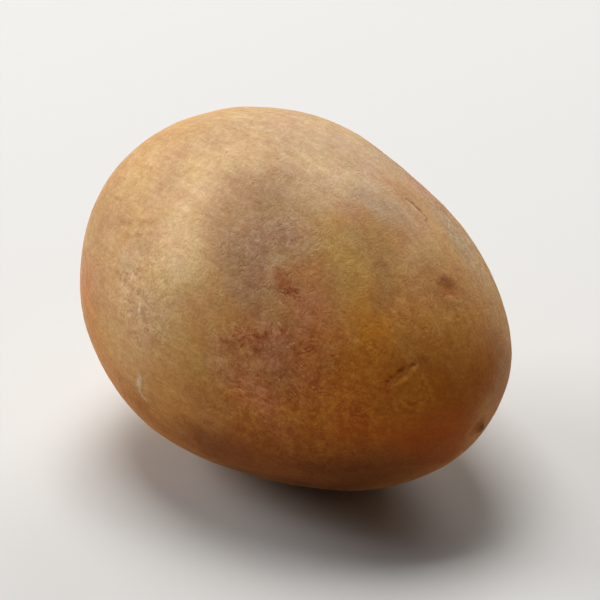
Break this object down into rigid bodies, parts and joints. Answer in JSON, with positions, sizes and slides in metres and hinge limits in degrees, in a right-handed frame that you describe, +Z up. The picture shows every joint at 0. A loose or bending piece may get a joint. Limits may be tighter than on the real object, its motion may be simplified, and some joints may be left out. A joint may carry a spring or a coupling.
{
  "type": "whole sapodilla fruit",
  "caption": "Whole ripe sapodilla lying on its side: a blunt egg-shaped fruit with matte brown skin, a round stem scar at one end and a small dry tip at the other.",
  "frame": {"origin": "bottom of the fruit's box, under its middle, on the surface it lies on", "axes": "+X from the stem scar to the tip, level; +Z up, away from the flat spot"},
  "size_m": [0.072, 0.0546, 0.0532],
  "materials": {
    "skin": "matte, scurfy light brown skin, mottled with rust, olive and grey"
  },
  "bodies": {
    "root": {"sapodilla_fruit": "skin"}
  },
  "joints": []
}
